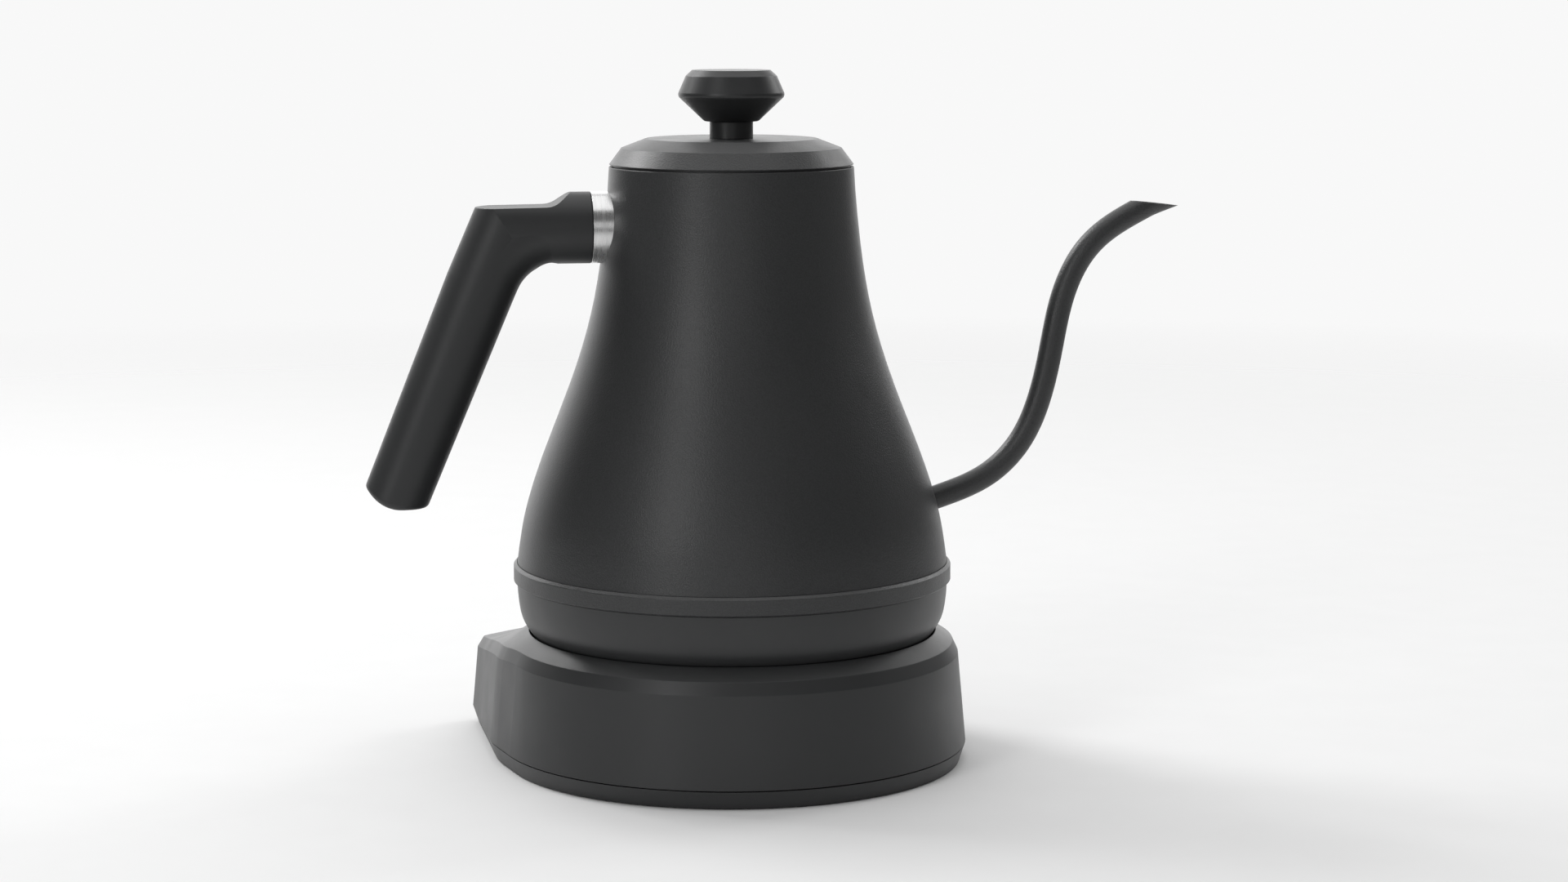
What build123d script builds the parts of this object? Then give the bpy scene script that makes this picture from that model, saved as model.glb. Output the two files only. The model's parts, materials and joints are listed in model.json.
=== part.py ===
from build123d import *
import math
import os

os.makedirs("parts", exist_ok=True)

# Gooseneck kettle on its powered base. Millimetres, +Z up, +X towards the spout.
# Origin: the kettle's axis at the surface that the base stands on.
# Heights in this file count from a datum just above that surface, and save() lifts every piece by LIFT.

# ---- driving dimensions -------------------------------------------------------
LIFT = 1.0                          # datum above the surface that the base stands on
RIM_R, RIM_Z = 43.4, 212.2          # mouth of the steel body
BODY_R, BODY_Z = 77.1, 71.0         # widest part of the steel body, above the collar
WALL = 0.9                          # steel wall
FLOOR_Z = 65.0                      # underside of the steel floor
COLLAR_R, COLLAR_TOP, COLLAR_BOT = 78.4, 70.8, 64.5
SEAT_Z = 41.8                       # underside of the kettle
DISH_R, DISH_TOP, DISH_Z = 73.2, 46.5, 41.5
LID_Z = 213.0                       # edge of the lid
LID_TOP = 222.0                     # flat middle of the lid
KNOB_BOT, KNOB_TOP = 228.05, 246.05
SEAM_X = -50.3                      # seam between ferrule and grip
NECK_LOW, NECK_HIGH = 178.4, 203.7  # height of the handle's neck at the seam
NECK_R = (NECK_HIGH - NECK_LOW) / 2
ELBOW = (-80.4, 191.05)             # where the neck's axis meets the grip's
TUBE_R, TUBE_WALL = 4.3, 0.7        # spout tube
PANEL_TURN = 113.0                  # the base's control side, turned from +X
BASE_R, BASE_LOW = 84.5, 5.9        # base wall at its lower edge
DRAFT = 5.2                         # wall draft of the base, degrees
SHOULDER_X, SHOULDER_Y, SHOULDER_R = 20.2, 21.0, 60.2
CORNER_X, CORNER_Y, CORNER_R = 93.9, 46.6, 10.0
SKIN = 2.5                          # moulding thickness
PANEL_TILT = 22.6                   # slope of the control panel, degrees
PANEL_U, PANEL_Z = 88.5, 39.2       # middle of the console's flat top
BOARD_POST = 28.4                   # posts that carry the control board
BUTTON_Y = (-22.0, -13.8, 13.8, 22.0)
BUTTON_R = 3.2
SOCKET_R, POST_R, POST_TOP = 21.2, 15.5, 55.0
GLAND_AT, GLAND_Z = -69.1, 18.0     # direction of the cord's entry, and its height


# ---- helpers ------------------------------------------------------------------
def turned(line):
    """Solid of revolution about Z from a closed outline drawn as (radius, height)."""
    return revolve(Plane.XZ * make_face(line), Axis.Z)


def ring(r_out, r_in, z0, z1):
    disc = Pos(0, 0, z0) * Cylinder(r_out, z1 - z0, align=(Align.CENTER, Align.CENTER, Align.MIN))
    if r_in <= 0:
        return disc
    hole = Pos(0, 0, z0 - 1) * Cylinder(r_in, z1 - z0 + 2, align=(Align.CENTER, Align.CENTER, Align.MIN))
    return disc - hole


def rod(x, y, z0, z1, r):
    return Pos(x, y, 0) * ring(r, 0, z0, z1)


def block(x, y, z, dx, dy, dz):
    return Pos(x, y, z) * Box(dx, dy, dz)


def around(piece, count, start=0.0):
    """The same piece repeated round the axis."""
    return [Rot(0, 0, start + 360 * i / count) * piece for i in range(count)]


def save(name, *pieces):
    solids = []
    for piece in pieces:
        solids.extend(Pos(0, 0, LIFT) * s for s in piece.solids())
    whole = solids[0] if len(solids) == 1 else Compound(children=solids)
    export_step(whole, "parts/" + name + ".step")


# ---- kettle body --------------------------------------------------------------
def body_curve(inset):
    points = [
        (RIM_R - inset, RIM_Z),
        (45.0 - inset, 192.0),
        (50.2 - inset, 159.6),
        (59.3 - inset, 131.0),
        (68.2 - inset, 108.0),
        (74.5 - inset, 87.2),
        (BODY_R - inset, BODY_Z),
    ]
    return Spline(*points, tangents=[(0.05, -1.0), (0.14, -1.0)])


def body_solid(inset):
    """Everything inside the body's outer wall, down to the collar."""
    side = body_curve(inset)
    rest = Polyline((BODY_R - inset, BODY_Z), (0, BODY_Z), (0, RIM_Z), (RIM_R - inset, RIM_Z))
    return turned([side, rest])


def kettle_body():
    skirt_r = BODY_R - 0.3
    shell = body_solid(0) + ring(skirt_r, 0, FLOOR_Z, BODY_Z)
    hollow = body_solid(WALL) + ring(skirt_r - WALL, 0, FLOOR_Z + WALL, BODY_Z + 0.5)
    lip = ring(RIM_R - 0.4, 39.8, RIM_Z - 1.8, RIM_Z - 1.0)
    shell = shell - hollow + lip
    shell = fillet(shell.edges().filter_by(GeomType.CIRCLE).group_by(Axis.Z)[-1], 0.35)
    strainer = [
        Pos(74.0, y, 91.4 + z) * Rot(0, 70, 0) * Cylinder(0.9, 16)
        for y, z in [(0, 0), (2.1, 0), (-2.1, 0), (1.05, 1.9), (-1.05, 1.9), (1.05, -1.9), (-1.05, -1.9)]
    ]
    shell = shell - strainer
    return shell - rod(20, 16, FLOOR_Z - 2, FLOOR_Z + 2, 4.6)


def spout_line():
    points = [
        (73.5, 0, 91.5),
        (93.1, 0, 99.6),
        (105.1, 0, 111.2),
        (112.4, 0, 127.0),
        (117.0, 0, 147.0),
        (121.2, 0, 165.5),
        (127.2, 0, 178.2),
        (138.9, 0, 189.6),
        (150.0, 0, 195.9),
        (166.0, 0, 202.2),
    ]
    return Spline(*points, tangents=[(1.0, 0, 0.33), (1.0, 0, 0.37)])


def swept(path, radius):
    start = Plane(origin=path @ 0, z_dir=path % 0)
    return sweep(start * Circle(radius), path=path)


def spout_tube():
    path = spout_line()
    tube = swept(path, TUBE_R) - swept(path, TUBE_R - TUBE_WALL)
    cut = Pos(155.0, 0, 197.45) * Rot(0, 6.0, 0) * Pos(0, 0, 15) * Box(60, 30, 30)
    return tube - cut - body_solid(-0.02)


# ---- handle -------------------------------------------------------------------
def neck_section(x, dx, radius):
    """Round bar along the handle's neck, from x towards the grip or the body."""
    frame = Plane(origin=(x, 0, (NECK_HIGH + NECK_LOW) / 2), x_dir=(0, 1, 0), z_dir=(1, 0, 0))
    return extrude(frame * Circle(radius), dx)


def handle_ferrule():
    sleeve = neck_section(SEAM_X, 14, NECK_R) - neck_section(SEAM_X - 1, 16, NECK_R - 2.5)
    return sleeve - body_solid(0)


def bar_section(x, z, radius):
    """Circle square to the grip's axis, centred at (x, z)."""
    return Plane(origin=(x, 0, z), x_dir=(0, 1, 0), z_dir=(0.380, 0, 0.925)) * Circle(radius)


def beyond_elbow():
    """Half space on the grip's side of the mitre at the elbow."""
    x, z = ELBOW
    lean = Plane(origin=(x, 0, z), x_dir=(0, 1, 0), z_dir=(-0.837, 0, -0.547))
    return lean * Box(160, 160, 160, align=(Align.CENTER, Align.CENTER, Align.MIN))


def elbow_bend():
    """Rounds the inner side of the elbow."""
    x, z = ELBOW
    reach_in = 18.0
    start = Vector(x + reach_in, 0, z)
    end = Vector(x - 0.401 * reach_in, 0, z - 0.916 * reach_in)
    path = TangentArc(start, end, tangent=(-1, 0, 0))
    frame = Plane(origin=start, x_dir=(0, 1, 0), z_dir=(-1, 0, 0))
    return sweep(frame * Circle(NECK_R - 0.12), path)


def thumb_cut():
    """Space over the flat that the thumb rests on, with its ramp at the neck."""
    corners = [(-50, 204.2), (-57.6, 203.7), (-63.8, 198.9), (-110, 198.2), (-110, 230), (-50, 230)]
    face = make_face(Polyline(*corners, close=True))
    for corner, radius in ((corners[1], 3.4), (corners[2], 8.0)):
        spot = Vector(*corner)
        face = fillet(min(face.vertices(), key=lambda v: (Vector(v.X, v.Y) - spot).length), radius)
    return extrude(Plane.XZ * face, 20, both=True)


def end_cut():
    corners = [(-150, 120), (-133.0, 103.2), (-124.8, 93.4), (-90, 92.0), (-90, 50), (-150, 50)]
    face = make_face(Polyline(*corners, close=True))
    spot = Vector(*corners[2])
    face = fillet(min(face.vertices(), key=lambda v: (Vector(v.X, v.Y) - spot).length), 14)
    return extrude(Plane.XZ * face, 20, both=True)


def handle_bar():
    neck = neck_section(SEAM_X - 0.25, -60, NECK_R) - beyond_elbow()
    stations = [(-69.9, 215, NECK_R), (-89.15, 171.1, 12.5), (-126.6, 80, 11.36)]
    bar = loft([bar_section(*station) for station in stations], ruled=True) & beyond_elbow()
    return neck + bar + elbow_bend()


def bracket_room(gap):
    """The steel tongue inside the grip, or with a gap, the pocket that it sits in."""
    return block(-64.5, 0, 190.5, 33.0 + 2 * gap, 14.0 + 2 * gap, 9.0 + 2 * gap)


def handle_grip():
    grip = handle_bar() - thumb_cut()
    grip = grip - end_cut()
    low = [e for e in grip.edges() if e.center().Z < 104 and e.center().X < -105]
    grip = fillet(low, 2.2)
    bolt_way = rod(-66, 0, 170, 200 - 14, 2.2)
    head_way = rod(-66, 0, 170, NECK_LOW + 4.6, 4.3)
    return grip - bracket_room(0.1) - bolt_way - head_way


def handle_bracket():
    pad_height, pad_width = 13.0, 14.0
    pad = block(-46, 0, 190.5, 6, pad_width, pad_height)
    tongue = bracket_room(0) + pad
    return tongue - body_solid(0) - rod(-66, 0, 180, 200, 1.7)


def handle_bolt():
    shank = rod(-66, 0, NECK_LOW + 4.0, 193.5, 1.7)
    head = rod(-66, 0, NECK_LOW + 1.2, NECK_LOW + 4.4, 3.9)
    key = Pos(-66, 0, NECK_LOW + 1.2) * extrude(RegularPolygon(1.6, 6), 2)
    return shank + head - key


# ---- lid ----------------------------------------------------------------------
def lid_cap():
    outline = Polyline(
        (0, LID_TOP), (30.5, LID_TOP), (39.0, 218.75), (43.3, LID_Z),
        (42.0, LID_Z), (42.0, 211.6), (39.4, 211.6), (39.4, LID_Z + 0.6),
        (41.2, LID_Z + 0.8), (38.2, 217.5), (30.3, LID_TOP - 1.3), (0, LID_TOP - 1.3), close=True)
    cap = turned(outline)
    return cap - rod(0, 0, 215, 225, 2.4)


def lid_plug():
    cup = ring(38.4, 0, 202.0, 212.6) - ring(36.4, 0, 203.8, 213.0)
    cup = cup - ring(38.6, 37.2, 205.2, 208.0)
    boss = ring(6.5, 0, 203.0, LID_TOP - 1.35)
    steam = around(Pos(30, 0, 203) * Cylinder(2.6, 4), 6, 30)
    return cup + boss - steam - rod(0, 0, 200, 222, 2.3) - rod(0, 0, 200, 206.2, 4.6)


def lid_clip():
    """Steel ring that joins the plug to the cap."""
    return ring(39.2, 36.6, 211.7, 212.6) - ring(38.45, 36.0, 211.0, 213.0)


def lid_seal():
    outline = Polyline((37.2, 205.3), (38.9, 205.3), (39.4, 206.6), (38.9, 207.9), (37.2, 207.9), close=True)
    return turned(outline)


def knob_stem():
    stem = ring(7.7, 0, LID_TOP + 0.05, KNOB_BOT - 0.05)
    return stem - rod(0, 0, 220, 230, 2.3)


def lid_knob():
    outline = Polyline(
        (0, KNOB_TOP), (13.9, KNOB_TOP), (16.15, 244.0), (19.15, 237.1), (9.6, KNOB_BOT), (0, KNOB_BOT),
        close=True)
    knob = turned(outline)
    rims = knob.edges().filter_by(GeomType.CIRCLE)
    widest = rims.sort_by(lambda e: -e.radius)
    knob = fillet(widest[0], 1.8)
    low = knob.edges().filter_by(GeomType.CIRCLE).group_by(Axis.Z)[0]
    knob = fillet(low, 1.5)
    return knob - rod(0, 0, 226, 241, 2.0)


def knob_screw():
    shank = rod(0, 0, 206.0, 240.5, 2.0)
    head = rod(0, 0, 203.6, 206.2, 4.0)
    slot = block(0, 0, 203.8, 6, 0.9, 1.4) + block(0, 0, 203.8, 0.9, 6, 1.4)
    return shank + head - slot


# ---- lower part of the kettle -------------------------------------------------
def collar_ring():
    outline = Polyline(
        (BODY_R + 0.15, COLLAR_TOP + 0.5), (COLLAR_R, COLLAR_TOP - 0.6), (COLLAR_R, COLLAR_BOT + 0.5),
        (COLLAR_R - 0.5, COLLAR_BOT), (BODY_R - 0.3, COLLAR_BOT), (BODY_R - 0.3, BODY_Z - 0.05),
        (BODY_R + 0.15, BODY_Z - 0.05), close=True)
    return turned(outline)


def shell_side(inset):
    points = [
        (77.2 - inset, COLLAR_BOT - 0.2),
        (76.6 - inset, 56.8),
        (75.2 - inset, 51.0),
        (72.4 - inset, 46.4 + inset * 0.3),
        (64.0 - inset, SEAT_Z + inset),
    ]
    return Spline(*points, tangents=[(-0.04, -1.0), (-1.0, 0.0)])


def shell_solid(inset):
    top = COLLAR_BOT - 0.2
    rest = Polyline((64.0 - inset, SEAT_Z + inset), (0, SEAT_Z + inset), (0, top), (77.2 - inset, top))
    return turned([shell_side(inset), rest])


def lower_shell():
    room = shell_solid(SKIN) + ring(77.2 - SKIN, 0, COLLAR_BOT - 0.3, COLLAR_BOT + 3)
    posts = around(rod(56, 0, SEAT_Z + 1, 62.3, 4.0), 3, 60)
    cup = shell_solid(0) - room + posts - ring(SOCKET_R + 0.3, 0, SEAT_Z - 2, SEAT_Z + 6)
    ways = around(rod(56, 0, SEAT_Z - 2, 70, 1.7), 3, 60)
    heads = around(rod(56, 0, SEAT_Z - 2, SEAT_Z + 2.4, 3.3), 3, 60)
    return cup - ways - heads


def heating_plate():
    disc = ring(62, 0, 62.4, FLOOR_Z)
    holes = around(rod(56, 0, 60, 70, 1.7), 3, 60)
    return disc - rod(20, 16, 60, 70, 4.6) - holes


def shell_screws():
    screw = rod(56, 0, SEAT_Z + 2.2, FLOOR_Z - 0.2, 1.5) + rod(56, 0, SEAT_Z + 0.4, SEAT_Z + 2.3, 2.9)
    screw = screw - block(56, 0, SEAT_Z + 0.6, 4.4, 0.8, 1.0) - block(56, 0, SEAT_Z + 0.6, 0.8, 4.4, 1.0)
    return around(screw, 3, 60)


def heating_element():
    arc = CenterArc((0, 0, 0), 40, 30, 300)
    path = Pos(0, 0, 58.9) * arc
    return swept(path, 3.4)


def element_terminals():
    pins = []
    for angle in (30, 330):
        x = 40 * math.cos(math.radians(angle))
        y = 40 * math.sin(math.radians(angle))
        pins.append(rod(x, y, 50.5, 55.45, 1.3) + rod(x, y, 49.3, 50.6, 2.4))
    return pins


def temperature_sensor():
    return rod(20, 16, 61.0, 72.0, 2.8) + Pos(20, 16, 72.0) * Sphere(2.8)


def sensor_grommet():
    stem = rod(20, 16, 62.0, 67.2, 4.5) + rod(20, 16, FLOOR_Z + WALL + 0.05, 67.2, 6.0)
    return stem - rod(20, 16, 60, 75, 2.85)


def socket_housing():
    cup = ring(SOCKET_R, 0, SEAT_Z, 58.6) - ring(POST_R + 0.5, 0, SEAT_Z - 1, 56.0)
    lead_in = Cone(POST_R + 2.5, POST_R + 0.4, 3, align=(Align.CENTER, Align.CENTER, Align.MIN))
    return cup - Pos(0, 0, SEAT_Z) * lead_in


def socket_contacts():
    return [rod(0, 0, 45.0, 56.0, 2.2), ring(10.5, 9.5, 46.5, 56.0)]


# ---- base ---------------------------------------------------------------------
def base_outline(grow):
    """Plan of the base at its lower edge: round, drawn out to a flat control side."""
    circles = [Circle(BASE_R + grow)]
    for side in (-1, 1):
        circles.append(Pos(SHOULDER_X, side * SHOULDER_Y) * Circle(SHOULDER_R + grow))
        circles.append(Pos(CORNER_X, side * CORNER_Y) * Circle(CORNER_R + grow))
    return make_face(make_hull(Sketch(children=circles).edges()))


def drafted(grow, z0, height, draft):
    """Walls that lean in by the draft angle as they rise."""
    lean = height * math.tan(math.radians(draft))
    low = Pos(0, 0, z0) * base_outline(grow)
    high = Pos(0, 0, z0 + height) * base_outline(grow - lean)
    return loft([low, high], ruled=True)


def roof(drop):
    """Solid under the deck, which falls away from the dish like a shallow cone."""
    heights = [
        (70.0, 48.6), (73.2, 46.5), (79.3, 42.4), (84.1, 39.8), (92.0, 36.6), (108.0, 32.4), (122.0, 29.8)]
    deck = Spline(*[(r, z - drop) for r, z in heights])
    rest = Polyline((122.0, 29.8 - drop), (122.0, 0), (0, 0), (0, 48.6 - drop), (70.0, 48.6 - drop))
    return turned([deck, rest])


def panel_plane(lift=0.0):
    """Frame of the sloping console: x across the base, z out of the panel."""
    tilt = math.radians(PANEL_TILT)
    normal = Vector(math.sin(tilt), 0, math.cos(tilt))
    origin = Vector(PANEL_U, 0, PANEL_Z) + normal * lift
    return Plane(origin=origin, x_dir=(0, 1, 0), z_dir=normal)


def on_panel(shape, lift, depth):
    """Extrude a flat shape out of the console, from lift up to lift + depth."""
    return extrude(panel_plane(lift) * shape, depth)


def dish_solid(grow):
    outline = Polyline(
        (0, DISH_Z - grow), (68.5 + grow, DISH_Z - grow), (71.6 + grow, 43.6 - grow * 0.4),
        (DISH_R - 0.4 + grow, DISH_TOP - 0.6), (DISH_R + 1.2 + grow, DISH_TOP + 1.2),
        (DISH_R + 1.2 + grow, 60), (0, 60), close=True)
    return turned(outline)


def reach(vertex):
    return math.hypot(vertex.X, vertex.Y)


def beveled():
    """Walls and deck with the bevel that follows the deck's edge all the way round."""
    walls = drafted(0, BASE_LOW - 3, 47, DRAFT) & roof(0)
    rim = [e for e in walls.edges() if min(v.Z for v in e.vertices()) > 20]
    rim = [e for e in rim if min(reach(v) for v in e.vertices()) > 75]
    deck = walls.faces().filter_by(GeomType.REVOLUTION)[0]
    return chamfer(rim, 2.0, 3.4, reference=deck)


def console():
    return on_panel(RectangleRounded(60, 25.6, 3), -14, 14)


def button_places():
    return [Pos(y, 0) for y in BUTTON_Y]


def base_housing():
    outer = beveled() - Pos(0, 0, -20 + BASE_LOW) * Box(300, 300, 40)
    outer = outer + (console() & drafted(-1.0, BASE_LOW, 44, DRAFT))
    inner = drafted(-SKIN, BASE_LOW - 3, 47, DRAFT) & roof(SKIN + 0.4)
    inner = inner - dish_solid(2.4) - on_panel(Rectangle(64, 40), -3.6, 12)
    board_posts = [on_panel(Pos(x, 0) * Circle(2.0), -9.2, 6.5) for x in (-BOARD_POST, BOARD_POST)]
    shell = outer - inner - dish_solid(0)
    shell = shell + [p & outer for p in board_posts + screw_posts()]
    plate_room = on_panel(RectangleRounded(57.4, 23.0, 2.2), -1.2, 4)
    holes = [on_panel(place * Circle(BUTTON_R + 0.2), -6, 8) for place in button_places()]
    flange_room = [on_panel(place * Circle(BUTTON_R + 1.0), -12, 8.4) for place in button_places()]
    window = on_panel(Rectangle(20.4, 10.4), -12, 14)
    shell = shell - plate_room - holes - flange_room - window - ring(POST_R + 0.3, 0, 30, 50)
    screw_ways = [Pos(x, y, 0) * ring(1.3, 0, 0, 20) for x, y in screw_places()]
    gland_way = gland_frame() * Pos(0, 0, -10) * Cylinder(4.8, 24)
    return shell - screw_ways - gland_way


def screw_places():
    return [(-62, 0), (0, 62), (0, -62), (84, 38), (84, -38)]


def screw_posts():
    return [rod(x, y, 7.6, 40, 4.0) for x, y in screw_places()]


def gland_frame():
    """Frame of the cord's entry: z out of the base, square to the leaning wall."""
    angle = math.radians(GLAND_AT)
    lean = math.radians(DRAFT)
    out = Vector(math.cos(angle), math.sin(angle), 0)
    along = Vector(-out.Y, out.X, 0)
    wall = SHOULDER_X * out.X - SHOULDER_Y * out.Y + SHOULDER_R - (GLAND_Z - BASE_LOW) * math.tan(lean)
    place = out * wall + along * 22 + Vector(0, 0, GLAND_Z)
    return Plane(origin=place, x_dir=along, z_dir=out * math.cos(lean) + Vector(0, 0, math.sin(lean)))


def base_plate():
    bottom, top = 0.4 - LIFT, BASE_LOW - 0.4
    slab = drafted(-2.4, bottom, top - bottom, -18)
    lip = drafted(-3.4, top - 0.1, 2.0, DRAFT) - drafted(-5.4, top - 1, 4.0, DRAFT)
    plate = slab + lip
    feet = [rod(x, y, -LIFT, 2.2, 7.2) for x, y in foot_places()]
    ways = [rod(x, y, -LIFT, 20, 1.8) for x, y in screw_places()]
    heads = [rod(x, y, -LIFT, 3.2, 3.4) for x, y in screw_places()]
    clear = [Pos(x, y, 0) * ring(4.1, 0, top, 12) for x, y in screw_places()]
    return plate - feet - ways - heads - clear


def foot_places():
    return [(-54, 38), (-54, -38), (72, 52), (72, -52)]


def base_feet():
    return [rod(x, y, -LIFT, 2.2, 7.0) for x, y in foot_places()]


def base_screws():
    screws = []
    for x, y in screw_places():
        screw = rod(x, y, 3.0, 16, 1.25) + rod(x, y, 1.4, 3.2, 3.1)
        cross = block(x, y, 1.5, 4.2, 0.8, 1.0) + block(x, y, 1.5, 0.8, 4.2, 1.0)
        screws.append(screw - cross)
    return screws


def base_connector():
    post = ring(POST_R, 0, 35.0, POST_TOP) + ring(21, 0, 35.0, DISH_Z - 2.45)
    post = post - ring(2.8, 0, 40, 60) - ring(11.3, 8.7, 42, 60)
    top = post.edges().filter_by(GeomType.CIRCLE).filter_by(lambda e: abs(e.radius - POST_R) < 0.01)
    return chamfer(top.group_by(Axis.Z)[-1], 1.0)


def connector_contacts():
    pin_seat = ring(2.7, 2.3, 40.1, 43.5)
    strip = ring(11.2, 10.7, 42.1, 45.9)
    return [pin_seat, strip]


def control_panel():
    plate = on_panel(RectangleRounded(57.0, 22.6, 2.0), -1.15, 1.55)
    holes = [on_panel(place * Circle(BUTTON_R + 0.2), -3, 6) for place in button_places()]
    window = on_panel(Rectangle(20.2, 10.2), -3, 6)
    return plate - holes - window


def display_window():
    return on_panel(Rectangle(20.0, 10.0), -1.1, 1.4)


def button(place):
    cap = on_panel(place * Circle(BUTTON_R), -4.2, 5.4)
    flange = on_panel(place * Circle(BUTTON_R + 0.6), -5.0, 1.1)
    cap = chamfer(cap.edges().filter_by(GeomType.CIRCLE).sort_by(lambda e: -e.center().Z)[0], 0.4)
    return cap + flange


def tact_switches():
    bodies = [on_panel(place * Rectangle(4.4, 4.4), -9.1, 2.2) for place in button_places()]
    stems = [on_panel(place * Circle(1.1), -6.95, 1.1) for place in button_places()]
    return [b + s for b, s in zip(bodies, stems)]


def control_board():
    board = on_panel(Rectangle(62, 15), -10.8, 1.6)
    ways = [on_panel(Pos(x, 0) * Circle(1.0), -12, 4) for x in (-BOARD_POST, BOARD_POST)]
    return board - ways


def board_screws():
    screws = []
    for x in (-BOARD_POST, BOARD_POST):
        shank = on_panel(Pos(x, 0) * Circle(0.9), -10.9, 1.65)
        screws.append(shank + on_panel(Pos(x, 0) * Circle(2.0), -12.2, 1.35))
    return screws


def display_module():
    return on_panel(Rectangle(19.0, 9.4), -9.15, 7.2)


def power_board():
    board = block(-6, 0, 14.0, 64, 46, 1.6)
    corners = [(-35, -20), (-35, 20), (23, -20), (23, 20)]
    return board - [rod(x, y, 10, 20, 1.5) for x, y in corners]


def board_standoffs():
    corners = [(-35, -20), (-35, 20), (23, -20), (23, 20)]
    return [rod(x, y, 5.5, 13.2, 3.0) + rod(x, y, 13.1, 16.5, 1.4) for x, y in corners]


def relay():
    return block(-22, 6, 22.4, 19, 15, 15)


def cord_gland():
    body = Pos(0, 0, -1.0) * Cylinder(4.6, 7) + Pos(0, 0, 1.3) * Cylinder(6.4, 2.4)
    body = body + Pos(0, 0, -3.7) * Cylinder(5.8, 1.8)
    sleeve = Pos(0, 0, 2.2) * Cone(4.6, 3.7, 13, align=(Align.CENTER, Align.CENTER, Align.MIN))
    grooves = [Pos(0, 0, z) * (Cylinder(8, 0.8) - Cylinder(3.5, 2)) for z in (5.0, 7.4, 9.8, 12.2)]
    return gland_frame() * (body + sleeve - grooves - Cylinder(2.9, 80))


# ---- write the pieces ---------------------------------------------------------
def write_kettle():
    save("kettle_body", kettle_body())
    save("spout_tube", spout_tube())
    save("handle_ferrule", handle_ferrule())
    save("handle_grip", handle_grip())
    save("handle_bracket", handle_bracket())
    save("handle_bolt", handle_bolt())
    save("collar_ring", collar_ring())
    save("lower_shell", lower_shell())
    save("heating_plate", heating_plate())
    save("heating_element", heating_element())
    save("element_terminals", *element_terminals())
    save("temperature_sensor", temperature_sensor())
    save("sensor_grommet", sensor_grommet())
    save("shell_screws", *shell_screws())
    save("socket_housing", socket_housing())
    save("socket_contacts", *socket_contacts())


def write_lid():
    save("lid_cap", lid_cap())
    save("lid_plug", lid_plug())
    save("lid_clip", lid_clip())
    save("lid_seal", lid_seal())
    save("knob_stem", knob_stem())
    save("lid_knob", lid_knob())
    save("knob_screw", knob_screw())


def write_base():
    turn = Rot(0, 0, PANEL_TURN)
    save("base_housing", turn * base_housing())
    save("base_plate", turn * base_plate())
    save("base_feet", *[turn * p for p in base_feet()])
    save("base_screws", *[turn * p for p in base_screws()])
    save("base_connector", base_connector())
    save("connector_contacts", *connector_contacts())
    save("control_panel", turn * control_panel())
    save("display_window", turn * display_window())
    names = ("button_hold", "button_minus", "button_plus", "button_power")
    for name, place in zip(names, button_places()):
        save(name, turn * button(place))
    save("tact_switches", *[turn * p for p in tact_switches()])
    save("control_board", turn * control_board())
    save("board_screws", *[turn * p for p in board_screws()])
    save("display_module", turn * display_module())
    save("power_board", turn * power_board())
    save("board_standoffs", *[turn * p for p in board_standoffs()])
    save("relay", turn * relay())
    save("cord_gland", turn * cord_gland())


write_kettle()
write_lid()
write_base()
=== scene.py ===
import json
import math

import bmesh
import bpy
from mathutils import Matrix, Vector


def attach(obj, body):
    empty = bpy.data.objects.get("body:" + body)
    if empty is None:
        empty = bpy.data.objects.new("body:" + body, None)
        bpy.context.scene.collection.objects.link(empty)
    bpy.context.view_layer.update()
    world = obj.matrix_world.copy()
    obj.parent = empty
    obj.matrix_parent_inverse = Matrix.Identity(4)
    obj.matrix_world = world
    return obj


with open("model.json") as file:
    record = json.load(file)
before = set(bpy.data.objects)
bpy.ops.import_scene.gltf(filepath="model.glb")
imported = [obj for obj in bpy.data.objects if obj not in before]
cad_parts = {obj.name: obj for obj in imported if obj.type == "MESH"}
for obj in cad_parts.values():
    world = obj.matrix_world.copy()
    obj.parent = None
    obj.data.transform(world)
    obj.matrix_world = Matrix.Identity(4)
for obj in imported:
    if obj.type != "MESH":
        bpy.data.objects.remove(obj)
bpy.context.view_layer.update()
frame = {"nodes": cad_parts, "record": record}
NODES = frame["nodes"]

# ---- light ----------------------------------------------------------------------
# Directions are the camera's: x to its right, y away from it, z up.
COVE_CENTRE = (-0.14, 1.0, 0.16)
COVE_EDGE = (0.66, 0.97)
COVE_LEVEL = (0.14, 1.9)
BACKDROP = 0.94                     # brightness that the camera sees behind the floor
LIGHTS = [   # name, place, aim, size, power
    ("top", (0.0, 0.1, 1.7), (0.0, 0.0, 0.0), (2.2, 2.0), 18.0),
    ("back_left", (-1.3, 0.9, 1.4), (0.0, 0.0, 0.1), (0.7, 0.7), 18.0),
    ("back_right", (1.5, 1.3, 1.2), (0.0, 0.0, 0.1), (0.7, 0.7), 8.0),
    ("front_left", (-0.85, -1.3, 0.75), (0.0, 0.0, 0.12), (0.4, 1.1), 5.2),
    ("front_fill", (0.1, -1.6, 0.5), (0.0, 0.0, 0.12), (0.8, 0.6), 1.1),
]

# ---- camera ---------------------------------------------------------------------
# The camera stands about 1.2 m from the kettle, a little above it, and looks slightly down.
HEADING = math.radians(-9.0)      # turned from the kettle's own +Y
PITCH = math.radians(7.834)
LENS_MM, SENSOR_MM = 78.09, 36.0
STAND = (0.0186, -1.2064, 0.2809)   # place before it is turned by HEADING, in metres


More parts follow.
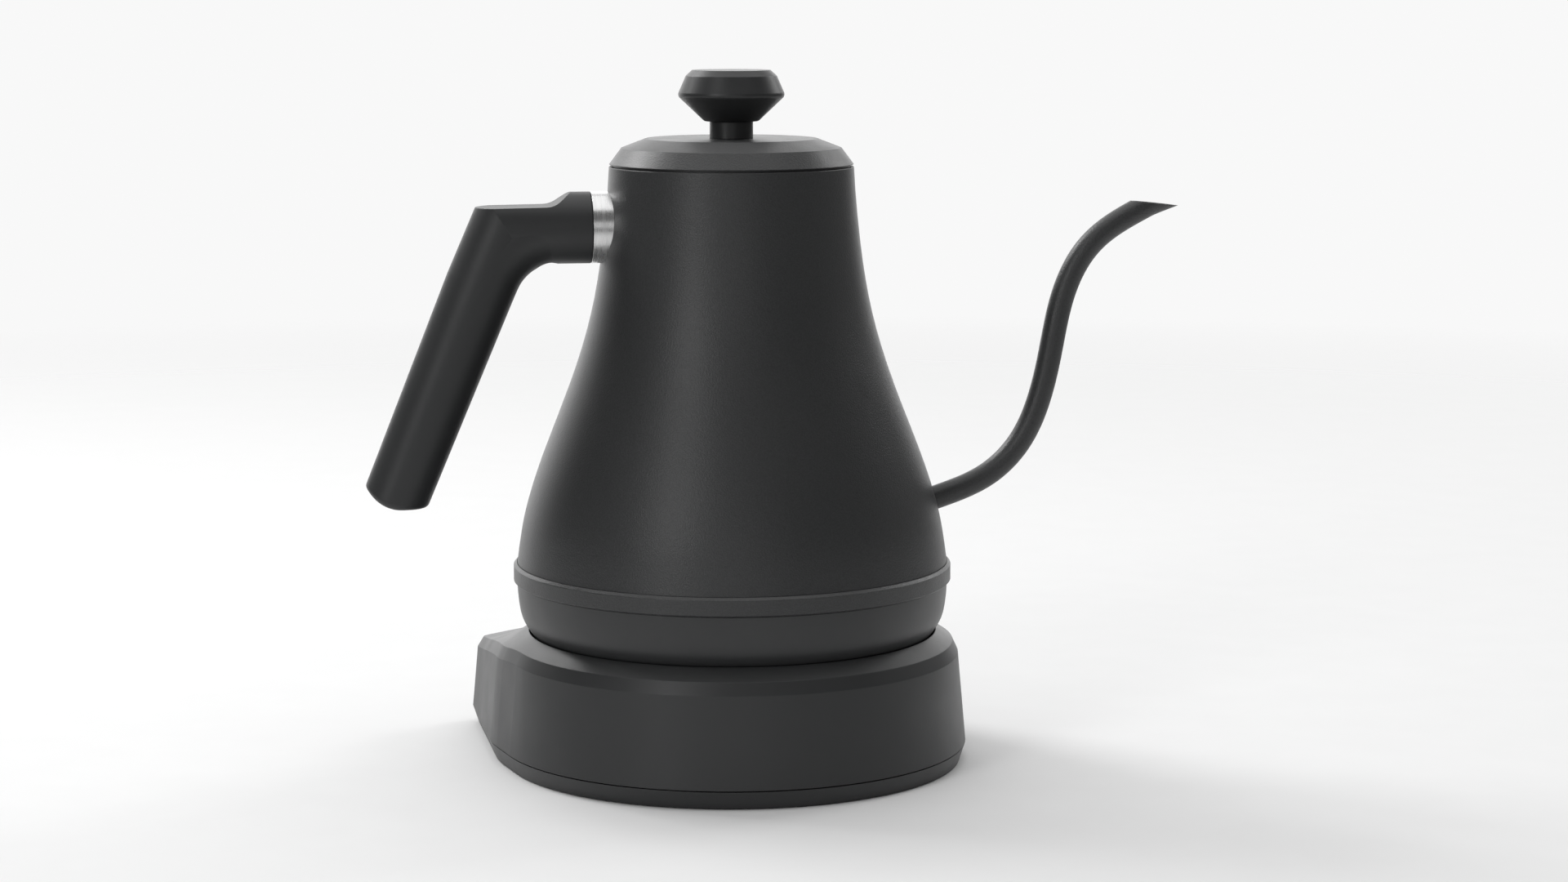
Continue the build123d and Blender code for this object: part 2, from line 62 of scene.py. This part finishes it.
def add_camera():
    data = bpy.data.cameras.new("camera")
    data.lens = LENS_MM
    data.sensor_width = SENSOR_MM
    data.clip_start = 0.01
    camera = bpy.data.objects.new("camera", data)
    bpy.context.scene.collection.objects.link(camera)
    camera.location = Matrix.Rotation(HEADING, 3, "Z") @ Vector(STAND)
    camera.rotation_euler = (math.pi / 2 - PITCH, 0.0, HEADING)
    bpy.context.scene.camera = camera


# ---- materials ------------------------------------------------------------------
class Look:
    """A node material with a Principled shader and short ways to add detail to it."""

    def __init__(self, name, rough, metal=0.0, spec=0.5, edge=0.0):
        self.mat = bpy.data.materials.new(name)
        self.mat.use_nodes = True
        self.tree = self.mat.node_tree
        self.shader = self.tree.nodes["Principled BSDF"]
        self.shader.inputs["Roughness"].default_value = rough
        self.shader.inputs["Metallic"].default_value = metal
        self.shader.inputs["Specular IOR Level"].default_value = spec
        self.place = self.add("ShaderNodeTexCoord").outputs["Object"]
        self.bumps = None
        if edge:
            worn = self.add("ShaderNodeBevel", samples=4)
            worn.inputs["Radius"].default_value = edge
            self.bumps = worn.outputs["Normal"]

    def add(self, kind, **values):
        node = self.tree.nodes.new(kind)
        for key, value in values.items():
            if key in node.inputs:
                node.inputs[key].default_value = value
            else:
                setattr(node, key, value)
        return node

    def join(self, out, into):
        self.tree.links.new(out, into)

    def noise(self, scale, detail=2.0, stretch=None, rough=0.5):
        node = self.add("ShaderNodeTexNoise")
        node.inputs["Scale"].default_value = scale
        node.inputs["Detail"].default_value = detail
        node.inputs["Roughness"].default_value = rough
        source = self.place
        if stretch:
            mapping = self.add("ShaderNodeMapping")
            mapping.inputs["Scale"].default_value = stretch
            self.join(self.place, mapping.inputs["Vector"])
            source = mapping.outputs["Vector"]
        self.join(source, node.inputs["Vector"])
        return node.outputs["Fac"]

    def spread(self, value, low, high, start=0.3, end=0.7):
        node = self.add("ShaderNodeMapRange")
        node.inputs["From Min"].default_value = start
        node.inputs["From Max"].default_value = end
        node.inputs["To Min"].default_value = low
        node.inputs["To Max"].default_value = high
        self.join(value, node.inputs["Value"])
        return node.outputs["Result"]

    def math(self, operation, first, second):
        node = self.add("ShaderNodeMath", operation=operation)
        self.join(first, node.inputs[0])
        self.join(second, node.inputs[1])
        return node.outputs["Value"]

    def blend(self, value, dark, light):
        node = self.add("ShaderNodeMix", data_type="RGBA")
        node.inputs["A"].default_value = (*dark, 1.0)
        node.inputs["B"].default_value = (*light, 1.0)
        self.join(value, node.inputs["Factor"])
        return node.outputs["Result"]

    def tint(self, value, dark, light):
        self.join(self.blend(value, dark, light), self.shader.inputs["Base Color"])

    def roughen(self, value, low, high):
        self.join(self.spread(value, low, high), self.shader.inputs["Roughness"])

    def bump(self, value, strength, depth):
        node = self.add("ShaderNodeBump")
        node.inputs["Strength"].default_value = strength
        node.inputs["Distance"].default_value = depth
        self.join(value, node.inputs["Height"])
        if self.bumps:
            self.join(self.bumps, node.inputs["Normal"])
        self.bumps = node.outputs["Normal"]
        self.join(self.bumps, self.shader.inputs["Normal"])


def grey(value, warm=0.0):
    return (value * (1 + warm), value, value * (1 - warm))


COOL = -0.035      # the black finishes lean slightly to blue


def moulded(name, level, rough, grain=900.0, depth=0.00004, spec=0.5, edge=0.0):
    """Plastic or powder coat: a fine grain, with slow changes of tone and sheen."""
    look = Look(name, rough, spec=spec, edge=edge)
    slow = look.noise(14.0, 3.0)
    fine = look.noise(grain, 3.0)
    look.tint(look.spread(slow, 0.0, 1.0), grey(level * 0.93, COOL), grey(level * 1.07, COOL))
    look.roughen(look.noise(60.0, 4.0), rough - 0.03, rough + 0.03)
    look.bump(fine, 0.5, depth)
    return look.mat


def powder_coat(name, level, rough, spec, edge=0.0):
    """Powder coat: fine sand-like grain over a slight orange peel, a little worn to a sheen in places."""
    look = Look(name, rough, spec=spec, edge=edge)
    speck = look.noise(1900.0, 2.0)
    peel = look.noise(420.0, 3.0)
    look.tint(look.spread(speck, 0.0, 1.0), grey(level * 0.8, COOL), grey(level * 1.25, COOL))
    look.roughen(look.noise(90.0, 4.0), rough - 0.03, rough + 0.03)
    look.bump(peel, 0.3, 0.00006)
    look.bump(speck, 0.9, 0.00011)
    return look.mat


def coat_over_steel(name, level, rough, spec, edge):
    """Powder coat outside, and bare steel where a face looks in at the kettle's axis or up from its floor."""
    look = Look(name, rough, spec=spec, edge=edge)
    speck = look.noise(1900.0, 2.0)
    peel = look.noise(420.0, 3.0)
    spun = look.noise(260.0, 4.0, (0.2, 0.2, 5.0))
    coord = look.add("ShaderNodeTexCoord")
    flat = look.add("ShaderNodeVectorMath", operation="MULTIPLY")
    flat.inputs[1].default_value = (1.0, 1.0, 0.0)
    look.join(coord.outputs["Object"], flat.inputs[0])
    outward = look.add("ShaderNodeVectorMath", operation="NORMALIZE")
    look.join(flat.outputs["Vector"], outward.inputs[0])
    facing = look.add("ShaderNodeVectorMath", operation="DOT_PRODUCT")
    look.join(outward.outputs["Vector"], facing.inputs[0])
    look.join(coord.outputs["Normal"], facing.inputs[1])
    inside = look.spread(facing.outputs["Value"], 1.0, 0.0, -0.12, -0.06)
    part = look.add("ShaderNodeSeparateXYZ")
    look.join(coord.outputs["Object"], part.inputs["Vector"])
    low = look.spread(part.outputs["Z"], 1.0, 0.0, *FLOOR_BAND)
    tilt = look.add("ShaderNodeSeparateXYZ")
    look.join(coord.outputs["Normal"], tilt.inputs["Vector"])
    upward = look.spread(tilt.outputs["Z"], 0.0, 1.0, 0.5, 0.6)
    floor = look.math("MULTIPLY", low, upward)
    bare = look.math("MAXIMUM", inside, floor)
    coat = look.blend(look.spread(speck, 0.0, 1.0), grey(level * 0.8, COOL), grey(level * 1.25, COOL))
    steel = look.blend(look.spread(spun, 0.0, 1.0), grey(0.46), grey(0.60))
    both = look.add("ShaderNodeMix", data_type="RGBA")
    look.join(bare, both.inputs["Factor"])
    look.join(coat, both.inputs["A"])
    look.join(steel, both.inputs["B"])
    look.join(both.outputs["Result"], look.shader.inputs["Base Color"])
    look.join(bare, look.shader.inputs["Metallic"])
    look.join(look.spread(bare, rough, STEEL_ROUGH, 0.0, 1.0), look.shader.inputs["Roughness"])
    look.bump(peel, 0.3, 0.00006)
    look.bump(speck, 0.9, 0.00011)
    return look.mat


def metal(name, level, rough, stretch, depth=0.000012, warm=0.0, scale=300.0, edge=0.0002):
    """Bare metal with fine brush lines, long where the stretch is small."""
    look = Look(name, rough, metal=1.0, edge=edge)
    lines = look.noise(scale, 4.0, stretch)
    look.tint(look.spread(lines, 0.0, 1.0), grey(level * 0.9, warm), grey(level * 1.05, warm))
    look.roughen(look.noise(scale * 0.5, 3.0, stretch), rough - 0.05, rough + 0.07)
    look.bump(lines, 0.4, depth)
    return look.mat


FLOOR_BAND = (0.075, 0.080)      # height over which the bare floor of the kettle ends, in metres
STEEL_ROUGH = 0.3
ROUND_X = (1.0, 0.03, 0.03)     # brush lines run round the neck's axis
ALONG_Z = (1.0, 1.0, 0.08)
EVEN = (1.0, 1.0, 1.0)


def make_materials():
    return {
        "coat_black": powder_coat("coat_black", 0.024, 0.41, 0.6, 0.0004),
        "body_coat": coat_over_steel("body_coat", 0.024, 0.41, 0.6, 0.0004),
        "grip_black": moulded("grip_black", 0.025, 0.46, 1100.0, 0.00003, 0.45, 0.0005),
        "shell_black": moulded("shell_black", 0.026, 0.42, 1500.0, 0.00004, 0.5, 0.0004),
        "knob_black": moulded("knob_black", 0.022, 0.40, 1500.0, 0.00003, 0.5, 0.0004),
        "steel_brushed": metal("steel_brushed", 0.66, 0.25, ROUND_X, depth=0.000004, scale=2200.0),
        "steel_plain": metal("steel_plain", 0.58, 0.3, ALONG_Z),
        "fastener_zinc": metal("fastener_zinc", 0.6, 0.32, EVEN),
        "seal_silicone": moulded("seal_silicone", 0.42, 0.5, 600.0, 0.00002),
        "foot_rubber": moulded("foot_rubber", 0.03, 0.8, 900.0, 0.00006),
        "plate_aluminium": metal("plate_aluminium", 0.72, 0.38, EVEN),
        "contact_brass": metal("contact_brass", 0.5, 0.28, ALONG_Z, warm=0.35),
        "connector_black": moulded("connector_black", 0.02, 0.35, 1300.0, 0.00002),
        "inner_grey": moulded("inner_grey", 0.16, 0.5, 1000.0, 0.00003),
        "panel_gloss": moulded("panel_gloss", 0.012, 0.12, 400.0, 0.000004),
        "window_smoke": moulded("window_smoke", 0.006, 0.06, 300.0, 0.000002),
        "key_grey": moulded("key_grey", 0.05, 0.4, 1200.0, 0.00002, edge=0.0002),
        "board_green": moulded("board_green", 0.05, 0.4, 500.0, 0.00001),
        "part_dark": moulded("part_dark", 0.04, 0.4, 800.0, 0.00002),
        "mark_white": moulded("mark_white", 0.55, 0.5, 900.0, 0.00001),
    }


def slot_of_node():
    """Which material slot each CAD node uses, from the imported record."""
    return {part["node"]: part["material_slot"] for part in frame["record"]["subparts"]}


# ---- stage ----------------------------------------------------------------------
FLOOR_R = 6.0                       # metres
FLOOR_FADE = (0.4, 1.6)             # distances between which the floor turns into the backdrop


def add_floor():
    mesh = bpy.data.meshes.new("floor")
    bm = bmesh.new()
    bmesh.ops.create_circle(bm, cap_ends=True, segments=96, radius=FLOOR_R)
    bm.to_mesh(mesh)
    bm.free()
    floor = bpy.data.objects.new("floor", mesh)
    bpy.context.scene.collection.objects.link(floor)
    look = Look("floor_paper", 0.9, spec=0.0)
    look.tint(look.spread(look.noise(40.0, 4.0), 0.0, 1.0), grey(0.855), grey(0.865))
    clear = look.add("ShaderNodeBsdfTransparent")
    mix = look.add("ShaderNodeMixShader")
    length = look.add("ShaderNodeVectorMath", operation="LENGTH")
    look.join(look.place, length.inputs[0])
    look.join(look.spread(length.outputs["Value"], 0.0, 1.0, *FLOOR_FADE), mix.inputs["Fac"])
    look.join(look.shader.outputs["BSDF"], mix.inputs[1])
    look.join(clear.outputs["BSDF"], mix.inputs[2])
    look.join(mix.outputs["Shader"], look.tree.nodes["Material Output"].inputs["Surface"])
    mesh.materials.append(look.mat)


def add_world():
    """White behind the object, darker at its sides and in front, as in a small white cove."""
    world = bpy.data.worlds.new("studio")
    bpy.context.scene.world = world
    world.use_nodes = True
    tree = world.node_tree
    back = tree.nodes["Background"]
    back.inputs["Color"].default_value = (1, 1, 1, 1)
    path = tree.nodes.new("ShaderNodeLightPath")
    coord = tree.nodes.new("ShaderNodeTexCoord")
    dot = tree.nodes.new("ShaderNodeVectorMath")
    dot.operation = "DOT_PRODUCT"
    away = Matrix.Rotation(HEADING, 3, "Z") @ Vector(COVE_CENTRE)
    dot.inputs[1].default_value = away.normalized()
    tree.links.new(coord.outputs["Generated"], dot.inputs[0])
    ramp = tree.nodes.new("ShaderNodeMapRange")
    ramp.interpolation_type = "SMOOTHSTEP"
    ramp.inputs["From Min"].default_value = COVE_EDGE[0]
    ramp.inputs["From Max"].default_value = COVE_EDGE[1]
    ramp.inputs["To Min"].default_value = COVE_LEVEL[0]
    ramp.inputs["To Max"].default_value = COVE_LEVEL[1]
    tree.links.new(dot.outputs["Value"], ramp.inputs["Value"])
    mix = tree.nodes.new("ShaderNodeMix")
    tree.links.new(path.outputs["Is Camera Ray"], mix.inputs["Factor"])
    tree.links.new(ramp.outputs["Result"], mix.inputs["A"])
    mix.inputs["B"].default_value = BACKDROP
    tree.links.new(mix.outputs["Result"], back.inputs["Strength"])


def add_light(name, place, aim, size, power):
    data = bpy.data.lights.new(name, "AREA")
    data.shape = "RECTANGLE"
    data.size, data.size_y = size
    data.energy = power
    light = bpy.data.objects.new(name, data)
    bpy.context.scene.collection.objects.link(light)
    turn = Matrix.Rotation(HEADING, 3, "Z")
    light.location = turn @ Vector(place)
    direction = turn @ Vector(aim) - light.location
    light.rotation_euler = direction.to_track_quat("-Z", "Y").to_euler()


def add_lights():
    for row in LIGHTS:
        add_light(*row)


# ---- marks on the control side ----------------------------------------------------
def panel_axes():
    """Across the panel, up its slope, and out of it, from the way that the buttons press."""
    joints = frame["record"]["behaviour"]["joints"]
    press = next(j["axis"] for j in joints if j["name"] == "button_plus_press")
    out = -Vector(press).normalized()
    across = Vector((0, 0, 1)).cross(out).normalized()
    return across, out.cross(across), out


def top_of(node):
    """Middle of a panel piece's outer face."""
    across, up, out = panel_axes()
    points = [v.co for v in NODES[node].data.vertices]
    height = max(p.dot(out) for p in points)
    top = [p for p in points if p.dot(out) > height - 0.00005]
    middle = [(min(p.dot(a) for p in top) + max(p.dot(a) for p in top)) / 2 for a in (across, up)]
    return across * middle[0] + up * middle[1] + out * height


class Mark:
    """Printed sign, slightly raised, drawn in millimetres on a panel piece."""

    RISE = 0.00012

    def __init__(self, name, node):
        self.bm = bmesh.new()
        self.name = name
        self.origin = top_of(node)
        self.axes = panel_axes()

    def at(self, x, y, z):
        across, up, out = self.axes
        return self.origin + across * (x / 1000) + up * (y / 1000) + out * z

    def prism(self, outline):
        low = [self.bm.verts.new(self.at(x, y, -0.00003)) for x, y in outline]
        high = [self.bm.verts.new(self.at(x, y, self.RISE)) for x, y in outline]
        self.bm.faces.new(high)
        self.bm.faces.new(low[::-1])
        count = len(outline)
        for i in range(count):
            k = (i + 1) % count
            self.bm.faces.new((low[i], low[k], high[k], high[i]))

    def stroke(self, x0, y0, x1, y1, width):
        """Bar with rounded ends."""
        angle = math.atan2(y1 - y0, x1 - x0)
        outline = []
        for cx, cy, turn in ((x1, y1, -0.5), (x0, y0, 0.5)):
            for step in range(7):
                a = angle + math.pi * (turn + step / 6)
                outline.append((cx + width / 2 * math.cos(a), cy + width / 2 * math.sin(a)))
        self.prism(outline)

    def arc(self, radius, width, start, end, steps=28):
        """Part of a ring, between two angles in degrees."""
        angles = [math.radians(start + (end - start) * i / steps) for i in range(steps + 1)]
        outer = [((radius + width / 2) * math.cos(a), (radius + width / 2) * math.sin(a)) for a in angles]
        inner = [((radius - width / 2) * math.cos(a), (radius - width / 2) * math.sin(a)) for a in angles]
        self.prism(outer + inner[::-1])

    def done(self, body):
        bmesh.ops.recalc_face_normals(self.bm, faces=self.bm.faces)
        mesh = bpy.data.meshes.new(self.name)
        self.bm.to_mesh(mesh)
        self.bm.free()
        piece = bpy.data.objects.new(self.name, mesh)
        bpy.context.scene.collection.objects.link(piece)
        mesh.materials.append(looks["mark_white"])
        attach(piece, body)


SEGMENTS = {     # ends of the seven bars of a digit, in half widths and half heights
    "top": (-1, 1, 1, 1), "middle": (-1, 0, 1, 0), "foot": (-1, -1, 1, -1),
    "left_up": (-1, 0, -1, 1), "right_up": (1, 0, 1, 1),
    "left_low": (-1, -1, -1, 0), "right_low": (1, -1, 1, 0),
}
SEGMENT_WIDTH = 0.5     # in millimetres
NINE = ("top", "middle", "foot", "left_up", "right_up", "right_low")
THREE = ("top", "middle", "foot", "right_up", "right_low")


def add_digit(mark, middle, lit):
    half_w, half_h, gap = 1.35, 2.7, 0.42
    for name in lit:
        x0, y0, x1, y1 = SEGMENTS[name]
        dx = gap if y0 == y1 else 0.0
        dy = gap if x0 == x1 else 0.0
        start = (middle + x0 * half_w + dx, y0 * half_h + dy)
        end = (middle + x1 * half_w - dx, y1 * half_h - dy)
        mark.stroke(*start, *end, SEGMENT_WIDTH)


def add_marks():
    minus = Mark("mark_minus", "button_minus")
    minus.stroke(-1.1, 0, 1.1, 0, 0.45)
    minus.done("button_minus")
    plus = Mark("mark_plus", "button_plus")
    plus.stroke(-1.1, 0, -0.24, 0, 0.45)
    plus.stroke(0.24, 0, 1.1, 0, 0.45)
    plus.stroke(0, -1.1, 0, 1.1, 0.45)
    plus.done("button_plus")
    power = Mark("mark_power", "button_power")
    power.arc(1.15, 0.38, 125, 415)
    power.stroke(0, 0.35, 0, 1.4, 0.38)
    power.done("button_power")
    hold = Mark("mark_hold", "button_hold")
    hold.arc(1.2, 0.38, 0, 350)
    hold.stroke(0, 0, 0, 0.75, 0.34)
    hold.done("button_hold")
    digits = Mark("display_digits", "display_window")
    add_digit(digits, -4.2, NINE)
    add_digit(digits, 0.6, THREE)
    digits.stroke(4.2, 2.3, 4.9, 2.3, 0.4)
    digits.done("base")


OWN_LOOK = {"kettle_body": "body_coat"}    # nodes whose look differs from their slot's


# ---- run ------------------------------------------------------------------------
bpy.context.scene.view_settings.view_transform = "Standard"
add_camera()
looks = make_materials()
slots = slot_of_node()
for name, node in NODES.items():
    node.data.materials.clear()
    node.data.materials.append(looks[OWN_LOOK.get(name, slots[name])])
add_marks()
add_floor()
add_world()
add_lights()
